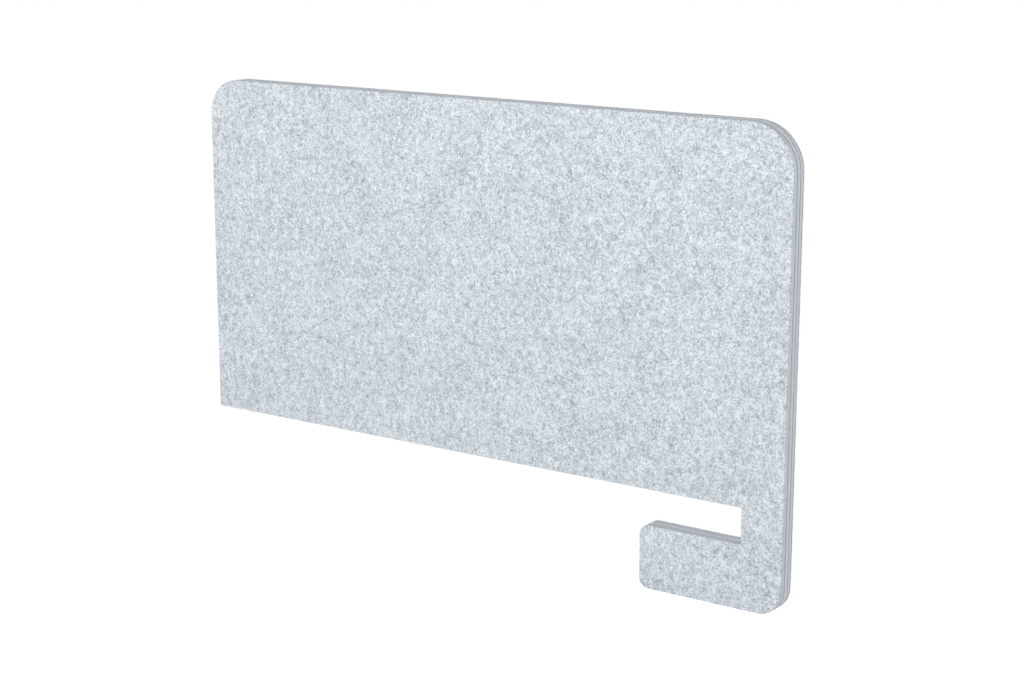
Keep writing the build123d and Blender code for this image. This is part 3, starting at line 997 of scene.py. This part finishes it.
def make_timber(name, tones, grain, bands="RINGS"):
    """A wood with its grain along one axis, and growth rings or plies across the thickness."""
    material, tree, shader, place = start_finish(name, Roughness=0.6, Specular_IOR_Level=0.3)
    along = "XYZ".index(grain)
    if bands == "PLIES":
        ply_pair = PLY_MM * 2 / WAVE_PERIOD
        grown = put(tree, "ShaderNodeMapping", inputs={
            "Vector": place, "Scale": per_mm(PLY_WIDTH_MM, ply_pair, PLY_WIDTH_MM),
        })
        settings, waviness = {"wave_type": "BANDS", "bands_direction": "Y"}, PLY_WAVINESS
    else:
        ring_size = [RING_MM] * 3
        ring_size[along] *= GRAIN_LENGTH
        grown = put(tree, "ShaderNodeMapping", inputs={
            "Vector": place, "Location": HEART_AWAY,
            "Scale": per_mm(*[size / WAVE_PERIOD for size in ring_size]),
        })
        settings, waviness = {"wave_type": "RINGS", "rings_direction": grain}, RING_WAVINESS
    rings = put(tree, "ShaderNodeTexWave", settings, {
        "Vector": grown.outputs["Vector"],
        "Scale": 1, "Distortion": waviness, "Detail": 2, "Detail Scale": 2,
    })
    fibre_size = [FIBRE_ACROSS_MM] * 3
    fibre_size[along] = FIBRE_ALONG_MM
    drawn = put(tree, "ShaderNodeMapping", inputs={"Vector": place, "Scale": per_mm(*fibre_size)})
    fibres = put(tree, "ShaderNodeTexNoise", inputs={
        "Vector": drawn.outputs["Vector"], "Scale": 1, "Detail": 3,
    }).outputs["Fac"]
    blend = put(tree, "ShaderNodeMath", {"operation": "MULTIPLY_ADD", "use_clamp": True}, {
        0: fibres, 1: FIBRE_IN_TIMBER, 2: rings.outputs["Fac"],
    }).outputs["Value"]
    end_finish(tree, shader, blend, tones, fibres, strength=0.3, depth_mm=PORE_MM)
    return material


timber = {
    "hook_board": make_timber("birch_plywood_sanded", ("#C9A877", "#E3CDA6"), "Z", bands="PLIES"),
    "top_rail": make_timber("pine_planed_rail", ("#CFA468", "#E8CFA0"), "X"),
    "far_stile": make_timber("pine_planed_stile", ("#CDA266", "#E6CC9C"), "Z"),
    "frame_tenons": make_timber("beech_planed", ("#C39A70", "#D9B48C"), "X"),
}
timber["bottom_rail"] = timber["top_rail"]
timber["middle_stile"] = timber["far_stile"]
print("timber", sorted(timber))

# %% [markdown]
# The slider and its pull are die-cast zinc with a baked lacquer in the felt's grey. The lacquer has
# a fine orange peel, and it is rubbed through to bare metal in a few small spots where fingers and
# the coil touch it. A plain grey would look new and moulded. The stops are aluminium strip pressed
# round the coil, bright and faintly brushed.

# %% Finishes: metal
LACQUER, BARE_ZINC, RUB_MM, PEEL_MM, PEEL_DEPTH_MM = "#B4B9BE", "#8F9192", 2.2, 0.5, 0.02
RUBBED_FROM, RUBBED_TO = 0.66, 0.70
NOISE_LOW, NOISE_HIGH, SMOOTH, ROUGH = 0.3, 0.7, 0.28, 0.4


def make_lacquered_zinc():
    """The lacquer of the slider and the pull, with orange peel and rubbed spots."""
    material, tree, shader, place = start_finish(
        "zinc_die_cast_lacquered", Coat_Weight=0.25, Coat_Roughness=0.2,
    )
    noises = []
    for size_mm, detail in ((RUB_MM, 4), (PEEL_MM, 1)):
        scaled = put(tree, "ShaderNodeMapping", inputs={
            "Vector": place, "Scale": per_mm(size_mm, size_mm, size_mm),
        })
        noises.append(put(tree, "ShaderNodeTexNoise", inputs={
            "Vector": scaled.outputs["Vector"], "Scale": 1, "Detail": detail,
        }).outputs["Fac"])
    rubbing, peel = noises
    bare = put(tree, "ShaderNodeMapRange", inputs={
        "Value": rubbing, "From Min": RUBBED_FROM, "From Max": RUBBED_TO,
    }).outputs["Result"]
    roughness = put(tree, "ShaderNodeMapRange", inputs={
        "Value": rubbing, "From Min": NOISE_LOW, "From Max": NOISE_HIGH,
        "To Min": SMOOTH, "To Max": ROUGH,
    })
    tones = (LACQUER, BARE_ZINC)
    end_finish(tree, shader, bare, tones, peel, strength=0.25, depth_mm=PEEL_DEPTH_MM)
    tree.links.new(bare, shader.inputs["Metallic"])
    tree.links.new(roughness.outputs["Result"], shader.inputs["Roughness"])
    return material


lacquered_zinc = make_lacquered_zinc()
aluminium = make_streaked(
    "aluminium_strip_pressed", ("#9B9EA1", "#C3C6C9"), streak_mm=(0.2, 0.2, 3), depth_mm=0.03,
    Metallic=1.0, Roughness=0.42,
)
print("finishes", lacquered_zinc.name, aluminium.name)

# %% [markdown]
# The hard pieces could be modelled once more, but their CAD form is exact, so they keep it, and
# each only gets its finish.

# %% Finishes onto the CAD pieces
cad_finishes = {
    **timber, "zip_slider": lacquered_zinc, "zip_pull": lacquered_zinc,
    "zip_end_stops": aluminium, "zip_start_stop": aluminium,
}
for node, finish in cad_finishes.items():
    for material_slot in bpy.data.objects[node].material_slots:
        material_slot.material = finish
print("finished CAD pieces", sorted(cad_finishes))

# %% [markdown]
# The light is a plain soft studio. Lamps alone would leave hard edges of shade, so a white surround
# gives most of the light. Straight overhead it is less than half as strong as at the horizon,
# because the screen's upper edges are darker than its faces in the photograph. The surround looks
# white to the camera and to glossy surfaces, so the background is white without more light on the
# object.

# %% Light of the surround
AMBIENT, OVERHEAD, BACKGROUND, WHITE = 0.68, 0.295, 1.0, (1, 1, 1, 1)


def seen_level(tree, unseen, seen):
    """One value for the light on things, another for camera, glossy and transmission rays."""
    rays = put(tree, "ShaderNodeLightPath")
    either = rays.outputs["Is Camera Ray"]
    for kind in ("Is Glossy Ray", "Is Transmission Ray"):
        either = put(tree, "ShaderNodeMath", {"operation": "MAXIMUM"}, {
            0: either, 1: rays.outputs[kind],
        }).outputs["Value"]
    level = put(tree, "ShaderNodeMapRange", inputs={
        "Value": either, "To Min": unseen, "To Max": seen,
    })
    return level.outputs["Result"]


def surround_level(tree):
    """The light of the surround, which falls off from the horizon to the zenith."""
    way = put(tree, "ShaderNodeTexCoord")
    parts = put(tree, "ShaderNodeSeparateXYZ", inputs={"Vector": way.outputs["Generated"]})
    level = put(tree, "ShaderNodeMapRange", inputs={
        "Value": parts.outputs["Z"], "To Min": AMBIENT, "To Max": OVERHEAD,
    })
    return level.outputs["Result"]


world = bpy.data.worlds.new("studio surround")
scene.world = world
world.use_nodes = True
background = world.node_tree.nodes["Background"]
background.inputs["Color"].default_value = WHITE
strength = seen_level(world.node_tree, surround_level(world.node_tree), BACKGROUND)
world.node_tree.links.new(strength, background.inputs["Strength"])
print("surround", AMBIENT, "at the horizon,", OVERHEAD, "overhead")

# %% [markdown]
# One large lamp on each side gives shape. The front lamp points above the screen, because the
# photograph's felt is a little lighter towards the top. The floor is the room's floor, where it is
# when the screen hangs on a desk of common height. A floor that is lit until it is white would
# throw that light back on the screen, so camera and glossy rays see it brighter than it is lit. So
# it meets the background as white, and the soft shadow under the screen stays on it.

# %% Lamps and floor
LAMPS = [  # name, place, aim, width in metres, power in watts
    ("front lamp", (-0.2, -4.4, 1.3), (-0.3, 0, 4.2), 2.4, 130),
    ("rear lamp", (1.6, 4.2, 0.9), (-0.4, 0, 0.6), 2.4, 115),
]
DESK_HEIGHT, FLOOR_HALF, FLOOR_LIFT, FLOOR_COLOUR = 0.72, 1.6, 0.7, "#DCDCDC"


def add_lamp(name, place, aim, size, power):
    """A square soft lamp, turned towards a point."""
    lamp = add_object(name, bpy.data.lights.new(name, "AREA"))
    lamp.data.size = size
    lamp.data.energy = power
    lamp.location = place
    lamp.rotation_mode = "QUATERNION"
    lamp.rotation_quaternion = (Vector(aim) - Vector(place)).to_track_quat("-Z", "Y")
    return lamp


lamps = [add_lamp(*row) for row in LAMPS]
floor = add_object("floor", bpy.data.meshes.new("floor"))
floor_corners = [
    (SCREEN_MIDDLE[0] + x * FLOOR_HALF, y * FLOOR_HALF, -DESK_HEIGHT)
    for x, y in ((-1, -1), (1, -1), (1, 1), (-1, 1))
]
floor.data.from_pydata(floor_corners, [], [(0, 1, 2, 3)])
floor_paint, tree, shader, _ = start_finish("floor_paint_matt", Roughness=0.9)
shader.inputs["Base Color"].default_value = linear(FLOOR_COLOUR)
shader.inputs["Emission Color"].default_value = WHITE
tree.links.new(seen_level(tree, 0, FLOOR_LIFT), shader.inputs["Emission Strength"])
floor.data.materials.append(floor_paint)
print("lamps", [lamp.name for lamp in lamps], "floor", -DESK_HEIGHT, "m")

# %% [markdown]
# The view transform is Standard, so a colour comes out as it is written.

# %% View transform
scene.view_settings.view_transform = "Standard"
